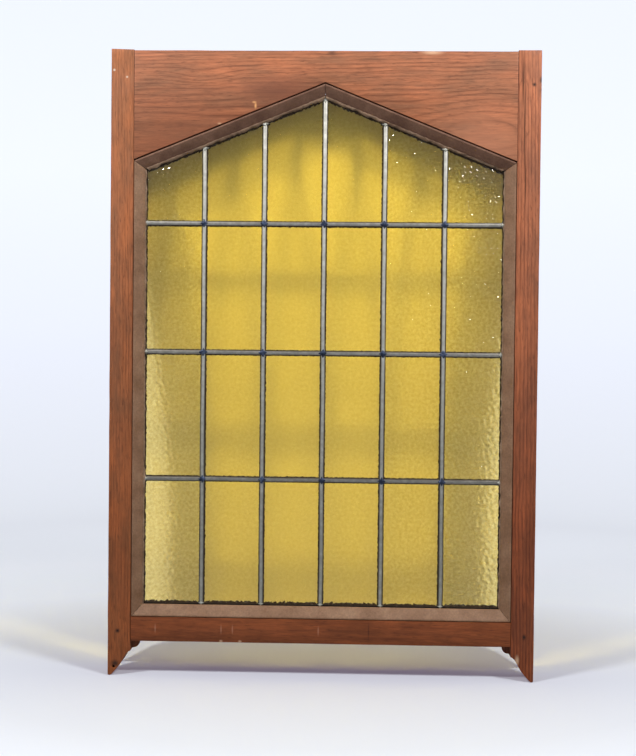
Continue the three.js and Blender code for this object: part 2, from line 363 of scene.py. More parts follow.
def run(corners, inward, depth, step, gap=0.3 * mm):
    # A section carried from one corner of the opening to the next: each of its points slides
    # straight from its own mitre at the first corner to its own mitre at the second.
    first, last = gable(**inward)[list(corners)]
    length = np.linalg.norm(last - first, axis=-1).max()
    count = max(3, int(length / step))
    share = np.linspace(gap / length, 1 - gap / length, count)[:, None, None]
    flat = first + (last - first) * share
    y = np.broadcast_to(front + depth, flat.shape[:2])
    return np.stack([flat[..., 0], y, flat[..., 1]], -1)


# Sizes of the pine's figure, across the grain and along it. Real fibres and pores are finer; they
# are drawn as coarse as they need to show.
pine = {
    "sway": (50 * mm, 260 * mm),
    "quiver": (9 * mm, 60 * mm),
    "fade": (16 * mm, 70 * mm),      # stretches where the dark lines are strong or weak
    "dull": (24 * mm, 80 * mm),
    "fibre": (2 * mm, 24 * mm),
    "streak": (4 * mm, 60 * mm),
    "pore": (1.6 * mm, 12 * mm),
    "relief": 0.3 * mm,
}


def stainedPine(name, spec):
    # Old softwood under a worn reddish stain, sawn and hand planed: thin dark lines of late growth
    # that wander and fade, short fibres, dull patches where the stain is thin, a low sheen.
    material, tree, end = newTree(name)
    at = add(tree, "TexCoord", out="Object")
    along = add(tree, "Mapping", {"Vector": at, "Location": spec["pith"], "Rotation": spec["turn"]})

    def figure(kind, detail=2, rough=0.5):
        # noise stretched along the grain to the kind's two sizes
        across, length = pine[kind]
        drawn = add(tree, "VectorMath", {0: along, 1: (1, 1, across / length)}, operation="MULTIPLY")
        return add(tree, "TexNoise", {
            "Vector": drawn, "Scale": 1 / across, "Detail": detail, "Roughness": rough})

    # growth rings: the distance from the pith, drifting, counted in ring spacings
    section = add(tree, "VectorMath", {0: along, 1: (1, 1, 0)}, operation="MULTIPLY")
    radius = add(tree, "VectorMath", {0: section}, operation="LENGTH", out="Value")
    for kind in ("sway", "quiver"):
        drift = add(tree, "Math", {0: figure(kind), 1: 0.5}, operation="SUBTRACT")
        radius = add(tree, "Math", {0: drift, 1: spec[kind], 2: radius}, operation="MULTIPLY_ADD")
    for hump in spec["humps"]:
        radius = add(tree, "Math", {0: radius, 1: softSpot(tree, at, *hump)}, operation="ADD")
    ring = add(tree, "Math", {0: radius, 1: spec["spacing"]}, operation="DIVIDE")
    ring = add(tree, "Math", {0: ring}, operation="FRACT")
    late = add(tree, "ValToRGB", {"Fac": ring}, stops=[
        (0.0, grey(0.35)), (0.3, grey(0.0)), (0.7, grey(0.25)), (0.9, grey(1.0)), (1.0, grey(0.35))])
    weak, strong = spec["fade"]
    fade = add(tree, "MapRange", {
        "Value": figure("fade"), "From Min": 0.35, "From Max": 0.65, "To Min": weak, "To Max": strong})
    late = add(tree, "Math", {0: late, 1: fade}, operation="MULTIPLY")

    # early growth, the dull patches and late growth, then the fibres' tone over them
    dull = add(tree, "MapRange", {"Value": figure("dull", 4, 0.6), "From Min": 0.36, "From Max": 0.68})
    wood = linear(spec["early"])
    for share, tint in ((dull, spec["dull"]), (late, spec["late"])):
        wood = add(tree, "Mix", {0: share, 6: wood, 7: linear(tint)}, data_type="RGBA", out=2)
    fibre = figure("fibre", 4, 0.7)
    streak = figure("streak", 3, 0.6)
    for pattern, darkest, palest in ((fibre, 0.72, 1.24), (streak, 0.9, 1.09)):
        tone = add(tree, "MapRange", {
            "Value": pattern, "From Min": 0.3, "From Max": 0.7, "To Min": darkest, "To Max": palest})
        wood = add(tree, "VectorMath", {0: wood, "Scale": tone}, operation="SCALE")
    pores = add(tree, "MapRange", {
        "Value": figure("pore"), "From Min": 0.58, "From Max": 0.74, "To Max": 0.5})
    wood = add(tree, "Mix", {0: pores, 6: wood, 7: linear("#46281B")}, data_type="RGBA", out=2)

    # darker towards the foot, and marked in single spots
    z = add(tree, "SeparateXYZ", {"Vector": at}, out="Z")
    low = add(tree, "MapRange", {"Value": z, "From Min": -0.02, "From Max": -0.62})
    wood = add(tree, "Mix", {0: low, 6: wood, 7: linear(spec["foot"])},
               data_type="RGBA", blend_type="MULTIPLY", out=2)
    for centre, size, tint, strength in spec["spots"]:
        spot = softSpot(tree, at, centre, size, strength)
        wood = add(tree, "Mix", {0: spot, 6: wood, 7: linear(tint)}, data_type="RGBA", out=2)

    height = add(tree, "Math", {0: fibre, 1: 0.6}, operation="MULTIPLY")
    height = add(tree, "Math", {0: late, 1: -0.3, 2: height}, operation="MULTIPLY_ADD")
    bump = add(tree, "Bump", {"Height": height, "Strength": 0.4, "Distance": pine["relief"]})
    rough = add(tree, "MapRange", {
        "Value": streak, "From Min": 0.3, "From Max": 0.7, "To Min": 0.58, "To Max": 0.44})
    surface = add(tree, "BsdfPrincipled", {
        "Base Color": wood, "Roughness": rough, "IOR": 1.45, "Specular IOR Level": 0.28, "Normal": bump})
    tree.links.new(surface, end)
    return material


def softSpot(tree, at, centre, size, most=1.0):
    # most at the centre, falling smoothly to 0 on an ellipsoid of the given half sizes
    scale = [1 / value for value in size]
    moved = add(tree, "Mapping", {
        "Vector": at, "Location": [-c * s for c, s in zip(centre, scale)], "Scale": scale})
    ball = add(tree, "TexGradient", {"Vector": moved}, gradient_type="SPHERICAL", out="Fac")
    return add(tree, "MapRange", {"Value": ball, "To Max": most}, interpolation_type="SMOOTHSTEP")


def onFront(x, z):
    # a place on the sash's front, from millimetres
    return (x * mm, front, z * mm)


def blob(width, height, depth=12):
    # a spot's half sizes, from millimetres
    return (width * mm, depth * mm, height * mm)


timber = {
    "section": 9 * mm,       # spacing of the cuts that let the arrises wander
    "corner": 40,            # degrees between two faces, above which their edge is an arris
    "arris": 0.6 * mm,
    "wander": 0.3 * mm,
    "drift": 60 * mm,        # length of that wandering
}
# For each member: its long axis, the pith's place, the grain's turn, the rings' spacing and drift,
# how weak and how strong their dark lines are, the colours, humps that bend the rings as centre,
# half sizes and lift, and spots as centre, half sizes, colour and strength.
timberPieces = {
    "top_rail": {
        "axis": 0,
        "pith": (0.085, -0.055, 0), "turn": (0.05, math.pi / 2 + 0.02, 0), "spacing": 3.6 * mm,
        "sway": 10 * mm, "quiver": 1.8 * mm, "fade": (0.25, 0.85),
        "early": "#AD6946", "dull": "#8B5C41", "late": "#673A25", "foot": "#CDB5A2",
        "humps": [(onFront(215, -95), blob(130, 95, 60), -9 * mm),
                  (onFront(-160, -14), blob(60, 18, 60), 5 * mm)],
        "spots": [(onFront(-60, -32), blob(90, 30), "#6F4432", 0.8),
                  (onFront(-190, -100), blob(130, 110, 60), "#784A35", 0.55),
                  (onFront(205, -105), blob(110, 75, 60), "#C08263", 0.5),
                  (onFront(-90.8, -51.5), blob(2.4, 6), "#DDA066", 1.0),
                  (onFront(-92.5, -47), blob(4, 2.2), "#D89C66", 0.9),
                  (onFront(-137.7, -75), blob(4, 2), "#D0A27E", 0.8),
                  (onFront(8, 17), blob(9, 5), "#5C3826", 0.8),
                  (onFront(138, 18), blob(20, 4), "#D9AE8B", 0.7)],
    },
    "bottom_rail": {
        "axis": 0,
        "pith": (0.700, -0.060, 0), "turn": (0.03, math.pi / 2 - 0.02, 0), "spacing": 4.5 * mm,
        "sway": 12 * mm, "quiver": 2.5 * mm, "fade": (0.05, 0.5),
        "early": "#BB794B", "dull": "#9A633B", "late": "#754327", "foot": "#BFA190", "humps": [],
        "spots": [(onFront(x, -738), blob(1.6, 9), "#B88468", 0.5) for x in (-217, -130, -115, -2)]
                 + [(onFront(x, -753.5), blob(3.4, 2.6), "#D6AE8E", 0.9) for x in (-130, -105)]
                 + [(onFront(64, -738), blob(1.6, 18), "#341A10", 0.6)],
    },
    "left_stile": {
        "axis": 2,
        "pith": (0.330, 0.060, 0), "turn": (0.010, 0.012, 0), "spacing": 3.4 * mm,
        "sway": 12 * mm, "quiver": 2.4 * mm, "fade": (0.1, 0.75),
        "early": "#B16B42", "dull": "#8C5C3F", "late": "#6F3C23", "foot": "#DECCB2", "humps": [],
        "spots": [(onFront(-276, -6), blob(2.4, 2.4), "#D6C2AE", 1.0),
                  (onFront(-259.2, -15), blob(2.2, 2.2), "#CDB7A1", 1.0),
                  (onFront(-266.9, -741.9), blob(4.4, 4.4), "#0E0906", 1.0),
                  (onFront(-270, -785), blob(9, 7), "#1C110B", 0.9)],
    },
    "right_stile": {
        "axis": 2,
        "pith": (-0.310, 0.050, 0), "turn": (-0.008, 0.012, 0), "spacing": 4.2 * mm,
        "sway": 10 * mm, "quiver": 3.2 * mm, "fade": (0.3, 0.9),
        "early": "#C1754E", "dull": "#975F43", "late": "#642F1E", "foot": "#BFA791", "humps": [],
        "spots": [(onFront(267.1, -741.6), blob(4, 5.5), "#160E09", 1.0),
                  (onFront(270.4, -22.8), blob(4, 4), "#24150E", 1.0),
                  (onFront(279.3, -16.9), blob(4, 7), "#2E1A11", 0.9),
                  (onFront(256.4, -18), blob(1.8, 60), "#43220F", 0.9),
                  (onFront(258.6, -82), blob(1.8, 70), "#43220F", 0.9),
                  (onFront(260.6, -148), blob(1.8, 60), "#43220F", 0.9),
                  (onFront(258.4, -772.4), blob(4, 10), "#DDB794", 0.8)],
    },
}


def wornCopy(node, axis):
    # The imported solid, cut across every few millimetres, with its front and back arrises rounded
    # and each point drawn towards the member's middle line by a slow random share of wander.
    low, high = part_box(node)
    work = bmesh.new()
    work.from_mesh(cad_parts[node].data)
    bmesh.ops.remove_doubles(work, verts=work.verts, dist=0.01 * mm)
    bmesh.ops.dissolve_limit(work, angle_limit=math.radians(0.5), verts=work.verts, edges=work.edges)
    normal = Vector([1.0 if i == axis else 0.0 for i in range(3)])
    for place in np.arange(low[axis] + timber["section"] / 2, high[axis], timber["section"]):
        parts = work.verts[:] + work.edges[:] + work.faces[:]
        bmesh.ops.bisect_plane(work, geom=parts, dist=1e-6, plane_co=normal * place, plane_no=normal)

    def onFace(edge, y):
        return all(abs(vert.co.y - y) < 0.02 * mm for vert in edge.verts)

    arrises = [edge for edge in work.edges
               if (onFace(edge, front) or onFace(edge, 0))
               and edge.calc_face_angle(0) > math.radians(timber["corner"])]
    bmesh.ops.bevel(work, geom=arrises, offset=timber["arris"], segments=2, profile=0.6,
                    affect="EDGES", clamp_overlap=False)
    points = np.array([vert.co for vert in work.verts])
    middle = np.array((low + high) / 2)
    half = np.array((high - low) / 2)
    for i in range(3):
        if i != axis:
            pull = timber["wander"] * (0.5 + 0.5 * ripple(points, timber["drift"], seed=10 + i)).clip(0, 1)
            points[:, i] = middle[i] + (points[:, i] - middle[i]) * (1 - pull / half[i])
    for vert, point in zip(work.verts, points):
        vert.co = point
    mesh = bpy.data.meshes.new(node)
    work.to_mesh(mesh)
    work.free()
    return mesh


for node, spec in timberPieces.items():
    wood = stainedPine("stained_pine_" + node, spec)
    finishPiece("pine_" + node, wornCopy(node, spec["axis"]), wood, [node], sharp=28)
print("timber: done")


# Glazing beads: painted pine, mitred round the opening
beads = {
    "width": {"side": 14 * mm, "slope": 15 * mm, "bottom": 15.5 * mm},
    "front": 0.8 * mm,
    "back": 11.6 * mm,
    "nose": 2.6 * mm,
    "flat": 0.14,            # share of the width that is flat before the splay
    "gap": {"side": 0.7 * mm, "slope": 1.6 * mm, "bottom": 0.5 * mm},   # dark line beside the timber
    "round": 0.9 * mm,
    "drift": 45 * mm,        # length over which the section drifts
    "wander": 0.22 * mm,
    "run": 6 * mm,           # length of the paint's runs
    "runs": 0.1 * mm,        # and how far they stand out
    "most": (-0.4 * mm, 0.5 * mm),   # limits of both together
    "step": 4 * mm,
}
edges = {"bottom": (0, 1), "right": (1, 2), "top_right": (2, 3), "top_left": (3, 4), "left": (4, 0)}


def rounded(corners, radius, steps=4):
    # Each corner of a closed section becomes a curve between the points that lie radius along
    # its two edges, but under half of the shorter: (1 - t)^2 a + 2 t (1 - t) corner + t^2 b.
    corners = np.array(corners, float)
    before = np.roll(corners, 1, 0) - corners
    after = np.roll(corners, -1, 0) - corners
    toBefore = np.linalg.norm(before, axis=1, keepdims=True)
    toAfter = np.linalg.norm(after, axis=1, keepdims=True)
    reach = np.minimum(radius, 0.45 * np.minimum(toBefore, toAfter))
    a = corners + before / toBefore * reach
    b = corners + after / toAfter * reach
    t = np.linspace(0, 1, steps)[None, :, None]
    curve = (1 - t) ** 2 * a[:, None] + 2 * t * (1 - t) * corners[:, None] + t ** 2 * b[:, None]
    return curve.reshape(-1, 2)


brushed = {
    "patch": 26.3 * mm,      # size of the rubbed and dusty patches
    "grit": 2.38 * mm,       # dust and brush marks, drawn as coarse as they need to show
    "relief": 0.3 * mm,
}


def oldPaint(name, base, dark, pale):
    # Brown oil paint brushed on pine long ago: matt, rubbed paler in patches, gritty with dust.
    material, tree, end = newTree(name)
    at = add(tree, "TexCoord", out="Object")
    patch = add(tree, "TexNoise", {
        "Vector": at, "Scale": 1 / brushed["patch"], "Detail": 4, "Roughness": 0.6})
    grit = add(tree, "TexNoise", {
        "Vector": at, "Scale": 1 / brushed["grit"], "Detail": 3, "Roughness": 0.6})
    tone = add(tree, "ValToRGB", {"Fac": patch}, stops=[
        (0.32, linear(dark)), (0.5, linear(base)), (0.7, linear(pale))])
    speck = add(tree, "MapRange", {
        "Value": grit, "From Min": 0.3, "From Max": 0.7, "To Min": 0.82, "To Max": 1.16})
    colour = add(tree, "VectorMath", {0: tone, "Scale": speck}, operation="SCALE")
    bump = add(tree, "Bump", {"Height": grit, "Strength": 0.5, "Distance": brushed["relief"]})
    surface = add(tree, "BsdfPrincipled", {
        "Base Color": colour, "Roughness": 0.6, "IOR": 1.5, "Specular IOR Level": 0.28, "Normal": bump})
    tree.links.new(surface, end)
    return material


def beadShape(corners, seed):
    # A flat, a splay and a nose, rounded and carried between two mitres; the section drifts
    # slowly across and in depth, and the paint stands in small runs.
    share = np.array([0, beads["flat"], 1, 1, 0]) * beads["width"]["slope"]
    depth = [beads["front"], beads["front"], beads["back"] - beads["nose"], beads["back"], beads["back"]]
    section = rounded(np.stack([share, depth], -1), beads["round"])
    share = section[:, 0] / beads["width"]["slope"]
    inward = {edge: beads["gap"][edge] + share * (width - beads["gap"][edge])
              for edge, width in beads["width"].items()}
    rings = run(corners, inward, section[:, 1], beads["step"])
    drift = ripple(rings, beads["drift"], seed) * beads["wander"]
    drift = drift + ripple(rings, beads["run"], seed + 1) * beads["runs"]
    rings[..., 1] += np.clip(drift, *beads["most"])
    return tube(rings)


beadPaint = oldPaint("brown_oil_paint", "#826149", "#74543C", "#8C6C53")
# The sloping beads take a darker copy of the same paint: painted shade for the light they miss, facing
# downwards.
shadedSlopePaint = oldPaint("brown_oil_paint_painted_shade", "#745341", "#654636", "#866450")
for index, (name, corners) in enumerate(edges.items()):
    coat = shadedSlopePaint if "top" in name else beadPaint
    addPiece("bead_" + name + "_painted", beadShape(corners, 100 + 10 * index), coat, "bead_timber",
             ["bead_" + name])


# Putty: a strip between the beads and the border's lead, under the slopes and beside the panes
putty = {
    "step": 1.6 * mm,
    "gap": 0.6 * mm,         # left open at each mitre
    # the strip's two sections: distance inwards from the opening and depth, in millimetres
    "slope": [(14.0, 11.75), (14.0, 10.0), (15.4, 8.9), (17.2, 9.6), (18.4, 11.2), (18.4, 11.75)],
    "side": [(13.0, 11.75), (12.6, 10.6), (13.6, 10.0), (14.8, 10.4), (15.6, 11.2), (15.6, 11.75)],
    "waves": (14 * mm, 5 * mm),          # lengths of the sight edge's long and short waves
    "ragged": 0.7 * mm,
    "lumps": (7 * mm, 2.6 * mm),         # sizes of the face's large and small lumps
    "rise": 0.35 * mm,
    "thins": (0.55, 0.95),   # share of the strip's run over which it thins, where it does
    "shrinks": 2.2 * mm,     # in width there
    "sinks": 1.6 * mm,       # in depth there
    "most": (-0.6 * mm, 1.1 * mm),   # limits of rise and sinking together
}


def puttyShape(corners, kind, seed, thin=0.0):
    # The section along one side of the opening: its sight edge wanders, its face stands in lumps,
    # and towards the far corner it thins by the given share and sinks away in places.
    inward, depth = (np.array(putty[kind]) * mm).T
    rings = run(corners, dict.fromkeys(("side", "slope", "bottom"), inward), depth, putty["step"],
                putty["gap"])
    along = np.linspace(0, 1, len(rings))[:, None]
    middle = rings[:, :1] * [1, 0, 1]
    long, short = putty["waves"]
    ragged = ripple(middle, long, seed) + 0.6 * ripple(middle, short, seed + 1)
    rise = (inward - inward[0]) / (inward[-1] - inward[0])
    normal = (0, 0, -1) if kind == "slope" else (-np.sign(rings[0, 0, 0]), 0, 0)
    sink = thin * smooth(along, *putty["thins"]) * (0.5 + 0.5 * ragged)
    shift = putty["ragged"] * ragged - putty["shrinks"] * sink
    rings = rings + (shift * rise)[..., None] * normal
    large, small = putty["lumps"]
    lumps = ripple(rings, large, seed + 2) + 0.5 * ripple(rings, small, seed + 3)
    onFace = depth < depth[0]
    rings[..., 1] += onFace * np.clip(putty["rise"] * lumps + putty["sinks"] * sink, *putty["most"])
    return tube(rings)


# Linseed putty under old paint: a matt beige, lumpy, darker and paler in patches.
beigePutty = oldPaint("painted_putty", "#856B55", "#6E533F", "#9B816A")
slopes = joined([puttyShape((3, 4), "slope", 150), puttyShape((3, 2), "slope", 160, thin=0.8)])
sides = joined([puttyShape((4, 0), "side", 170), puttyShape((2, 1), "side", 180)])
addPiece("putty_slopes", slopes, beigePutty, "bead_timber")
addPiece("putty_sides", sides, beigePutty, "bead_timber")
print("beads: done")


# Lead cames: bars of H section that hold the panes' edges
lead = {
    "glass": 14.8 * mm,      # depth of the middle of the glass
    "sight": {"side": 15.5 * mm, "slope": 18 * mm, "bottom": 16.7 * mm},    # border's inner edge
    "borderWidth": 12.7 * mm,
    "borderHalf": 2.9 * mm,  # half its depth
    "width": 6.4 * mm,
    "edge": 2.6 * mm,        # half the depth at a came's edges
    "rise": 1.1 * mm,        # and what its dome adds
    "heart": 1.5 * mm,
    "channel": 3.6 * mm,
    "clear": 0.3 * mm,       # left open where an upright meets the border
    "step": 4 * mm,
    "drift": 120 * mm,       # length over which a came wanders
    "wander": 0.3 * mm,
    "dent": 9 * mm,          # length of the dents in its faces
    "dents": 0.12 * mm,
    "patch": 7.14 * mm,      # size of the bloom's patches
    "grit": 2 * mm,          # pitting, drawn as coarse as it needs to show
    "relief": 0.2 * mm,
}


def middleOf(node):
    low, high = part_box(node)
    return (low + high) / 2


uprights = [middleOf(f"upright_came_{i}").x for i in range(1, 6)]
crossings = [middleOf(f"cross_came_{i}_1").z for i in range(1, 4)]


def agedLead(name, base, dark, pale, rough=0.42, metal=0.75, high=1.0, rim="#3A352D", dirt=(0.35, 0.8)):
    # Lead, milled and long in the air: dull grey with a blue-white bloom, paler by the factor high
    # at the window's top. It darkens to the rim colour between two shares of the way from its
    # middle to its edge, which the attribute outer gives: partly dirt and cement, partly painted
    # shade where the edges turn away from the light.
    material, tree, end = newTree(name)
    at = add(tree, "TexCoord", out="Object")
    patch = add(tree, "TexNoise", {
        "Vector": at, "Scale": 1 / lead["patch"], "Detail": 4, "Roughness": 0.7})
    grit = add(tree, "TexNoise", {
        "Vector": at, "Scale": 1 / lead["grit"], "Detail": 2, "Roughness": 0.6})
    tone = add(tree, "ValToRGB", {"Fac": patch}, stops=[
        (0.22, linear(dark)), (0.5, linear(base)), (0.78, linear(pale))])
    z = add(tree, "SeparateXYZ", {"Vector": at}, out="Z")
    paleTowardsTop = add(tree, "MapRange", {
        "Value": z, "From Min": -0.6, "From Max": -0.1, "To Min": 1.0, "To Max": high})
    tone = add(tree, "VectorMath", {0: tone, "Scale": paleTowardsTop}, operation="SCALE")
    outer = add(tree, "Attribute", attribute_name="outer", out="Fac")
    edge = add(tree, "MapRange", {"Value": outer, "From Min": dirt[0], "From Max": dirt[1]})
    tone = add(tree, "Mix", {0: edge, 6: tone, 7: linear(rim)}, data_type="RGBA", out=2)
    bump = add(tree, "Bump", {"Height": grit, "Strength": 0.5, "Distance": lead["relief"]})
    surface = add(tree, "BsdfPrincipled", {
        "Base Color": tone, "Metallic": metal, "Roughness": rough, "Specular IOR Level": 0.2,
        "Normal": bump})
    tree.links.new(surface, end)
    return material


def cameOuter(section, shape):
    # for each point of a came, its distance from the middle line as a share of the half width
    share = np.abs(section[:, 0]) / np.abs(section[:, 0]).max()
    return np.tile(share, len(shape[0]) // len(share))


def cameSection(width, edge, rise, steps=10):
    # H about its middle: each flange is a dome, edge + rise (1 - (2 x / width)^2) from the middle.
    half = width / 2
    inner = lead["channel"] / 2
    heart = lead["heart"] / 2
    across = np.linspace(-half, half, steps + 1)
    dome = np.stack([across, edge + rise * (1 - (across / half) ** 2)], -1)
    flange = np.concatenate([[[-heart, inner], [-half, inner]], dome, [[half, inner], [heart, inner]]])
    return np.concatenate([flange, -flange])


wide = cameSection(lead["borderWidth"], lead["borderHalf"], 0.0, steps=4)
narrow = cameSection(lead["width"], lead["edge"], lead["rise"])


def wandering(rings, seed):
    # The whole came drifts slowly and its faces are slightly dented.
    drift = lead["wander"] * ripple(rings[:, :1] * [1, 0, 1], lead["drift"], seed)
    rings = rings + drift[..., None] * [1, 0, 1]
    rings[..., 1] += ripple(rings, lead["dent"], seed + 1) * lead["dents"]
    return rings


def borderShape(corners, seed):
    # The wide section carried round the given corners, its inner edge on the sight line.
    across = wide[:, 0] - lead["borderWidth"] / 2
    inward = {edge: sight + across for edge, sight in lead["sight"].items()}
    depth = lead["glass"] + wide[:, 1]
    legs = [run(pair, inward, depth, lead["step"]) for pair in zip(corners, corners[1:])]
    return joined([tube(wandering(leg, seed + i)) for i, leg in enumerate(legs)])


def sightHeight(x, extra=0.0):
    # the height of the lead's sight line under the gable, above x
    apex = opening["apex"] - (lead["sight"]["slope"] + extra) * gableLength
    return apex - opening["slope"] * np.abs(x)


def uprightShape(x, seed):
    # The section stands on the bottom border and each of its points climbs to the slope above it.
    low = opening["sill"] + lead["sight"]["bottom"] + lead["clear"]
    top = sightHeight(x + narrow[:, 0], lead["clear"])
    share = np.linspace(0, 1, int((top.max() - low) / lead["step"]))[:, None]
    z = low + (top - low) * share
    rings = np.broadcast_arrays(x + narrow[:, 0], front + lead["glass"] + narrow[:, 1], z)
    return tube(wandering(np.stack(rings, -1), seed))


def crossShape(left, right, z, seed):
    # The section lies on its side and runs straight from left to right.
    x = np.linspace(left, right, int((right - left) / lead["step"]))[:, None]
    rings = np.broadcast_arrays(x, front + lead["glass"] + narrow[:, 1], z + narrow[:, 0])
    return tube(wandering(np.stack(rings, -1), seed))


cameLead = agedLead("aged_lead", "#8E8B82", "#7A776E", "#A3A198", high=2.4, dirt=(0.4, 0.85))
# The level cames take a darker copy of the same lead: painted shade for how the light falls on them.
shadedLevelLead = agedLead("aged_lead_level_painted_shade", "#75726B", "#605D57", "#8B8880", high=1.8, dirt=(0.42, 0.88))
# The border's lead is painted near black: painted shade from the beads over it, and old cement and dirt.
dirtyLead = agedLead("dirty_lead", "#2B251E", "#1C1712", "#3D352B", rim="#16110C", rough=0.7, metal=0.1)
borders = {"bottom": (0, 1), "right": (1, 2), "top": (2, 3, 4), "left": (4, 0)}
for index, (name, corners) in enumerate(borders.items()):
    shape = borderShape(corners, 200 + 10 * index)
    addPiece("lead_border_" + name, shape, dirtyLead, "lead_came", ["border_came_" + name],
             outer=cameOuter(wide, shape))
for index, x in enumerate(uprights):
    shape = uprightShape(x, 300 + 10 * index)
    addPiece(f"lead_upright_{index + 1}", shape, cameLead, "lead_came", [f"upright_came_{index + 1}"],
             outer=cameOuter(narrow, shape))
for row, z in enumerate(crossings):
    for column in range(6):
        node = f"cross_came_{row + 1}_{column + 1}"
        low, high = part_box(node)
        shape = crossShape(low.x, high.x, z, 400 + 30 * row + column)
        addPiece(f"lead_cross_{row + 1}_{column + 1}", shape, shadedLevelLead, "lead_came", [node],
                 outer=cameOuter(narrow, shape))


# Solder: lumps where cames cross, and smaller ones where they end at the border
solder = {
    "waist": 5.0 * mm,       # reach between the arms
    "arm": 8.4 * mm,         # reach along the cames
    "crown": 4.3 * mm,       # height above the middle of the glass
    "rim": 1.9 * mm,         # and at its edge
    "rings": np.linspace(0.12, 1, 9),    # share of the reach of each ring of points
    "points": 40,
    "lump": 3.2 * mm,        # length and height of the lumps on its crown
    "lumps": 0.28 * mm,
    "wave": 4 * mm,          # length and size of the waves in its outline
    "waves": 0.35 * mm,
    # at the cames' ends: distance in from the border's inner edge, and size
    "top": (0.8 * mm, 0.8),
    "bottom": (1.0 * mm, 0.62),
    "side": (1.2 * mm, 0.6),
}


def knotShape(x, z, seed, size, facing):
    # A lump on a crossing: its edge is waist + (arm - waist) |cos 2a|^5 along the cames, and its
    # height falls from the crown to the rim with the cube of the share of that reach.
    angle = np.linspace(0, 2 * math.pi, solder["points"], endpoint=False)
    share = solder["rings"][:, None]
    stretch = np.abs(np.cos(2 * angle)) ** 5 * (np.cos(4 * angle) > 0)
    reach = (solder["waist"] + (solder["arm"] - solder["waist"]) * stretch) * size
    height = solder["crown"] - (solder["crown"] - solder["rim"]) * share ** 3 + 0 * angle
    points = np.stack([x + share * reach * np.cos(angle), front + lead["glass"] + facing * height,
                       z + share * reach * np.sin(angle)], -1)
    points[..., 1] += facing * solder["lumps"] * ripple(points, solder["lump"], seed) * (1 - share ** 4)
    points[..., 0] += solder["waves"] * ripple(points, solder["wave"], seed + 1)
    points[..., 2] += solder["waves"] * ripple(points, solder["wave"], seed + 2)
    return tube(points)


def addSolder(name, places, colours, rough, **edge):
    # One lump on each face of the glass at every place, joined as one piece; the attribute outer
    # is low near a lump's middle and 1 at its rim.
    shapes = [knotShape(*place, facing) for place in places for facing in (-1, 1)]
    outer = np.tile(np.repeat(solder["rings"], solder["points"]), len(shapes))
    metal = agedLead(name + "_metal", *colours, rough, **edge)
    addPiece(name, joined(shapes), metal, "lead_came", outer=outer)


knots = [(x, z, 500 + 20 * row + 3 * column, 1.0)
         for row, z in enumerate(crossings) for column, x in enumerate(uprights)]
inset, size = solder["top"]
ends = [(x, float(sightHeight(x)) - inset, 600 + index, size) for index, x in enumerate(uprights)]
inset, size = solder["bottom"]
low = opening["sill"] + lead["sight"]["bottom"] + inset
ends += [(x, low, 620 + index, size) for index, x in enumerate(uprights)]
inset, size = solder["side"]
half = opening["half"] - lead["sight"]["side"] - inset
ends += [(side * half, z, 640 + row + side, size) for row, z in enumerate(crossings) for side in (-1, 1)]
# The knots' dark rims are partly dirt and partly painted shade round their edges.
addSolder("solder_knots", knots, ("#2C3344", "#14171F", "#66728E"), 0.4, rim="#161310", dirt=(0.7, 0.95))
addSolder("solder_ends", ends, ("#A3A297", "#7F7B71", "#CFCEC4"), 0.5)


# Cement: pushed under the lead's lips and standing as a dark fillet beside them. The fillet is also
# painted shade: wider on the side of each came that faces the window's middle, and wide along the border
# under the beads.
cement = {
    "step": 1.5 * mm,
    "middle": (-0.01, -0.40),    # the window's middle, in x and z
    "came": 0.65 * mm,       # width seen beside the cames, on average
    "more": 0.5,             # share by which it is wider towards the window's middle
    "full": 0.1,             # distance from that middle at which this is reached
    # width beside the border: along the foot of a pane, its right, its head and its left
    "border": (2.9 * mm, 1.3 * mm, 2.2 * mm, 1.3 * mm),
    "ragged": 0.6,           # share by which the width varies
    "wave": 4.5 * mm,        # length of that variation
    # section: millimetres from the lead's edge, plus a share of the width, and millimetres in
    # height above the middle of the glass
    "section": [(-0.6, 0, 1.3), (-0.6, 0, 1.75), (0.05, 0, 2.25), (0, 0.5, 1.85), (0, 1, 1.35),
                (0, 0.4, 1.3)],
    "crumb": 1.43 * mm,      # grains, drawn as coarse as they need to show
    "relief": 0.3 * mm,
}


def paneCorners(row, column):
    # Where the lead's sight lines meet round a pane, from the bottom left: four (x, z) corners,
    # and which of its four sides lie along the border.
    half = opening["half"] - lead["sight"]["side"]
    came = lead["width"] / 2
    left = -half if column == 0 else uprights[column - 1] + came
    right = half if column == 5 else uprights[column] - came
    low = opening["sill"] + lead["sight"]["bottom"] if row == 3 else crossings[row] + came
    if row:
        heads = [crossings[row - 1] - came] * 2
    else:
        heads = [float(sightHeight(x)) for x in (right, left)]
    corners = np.array([(left, low), (right, low), (right, heads[0]), (left, heads[1])])
    return corners, (row == 3, column == 5, row == 0, column == 0)


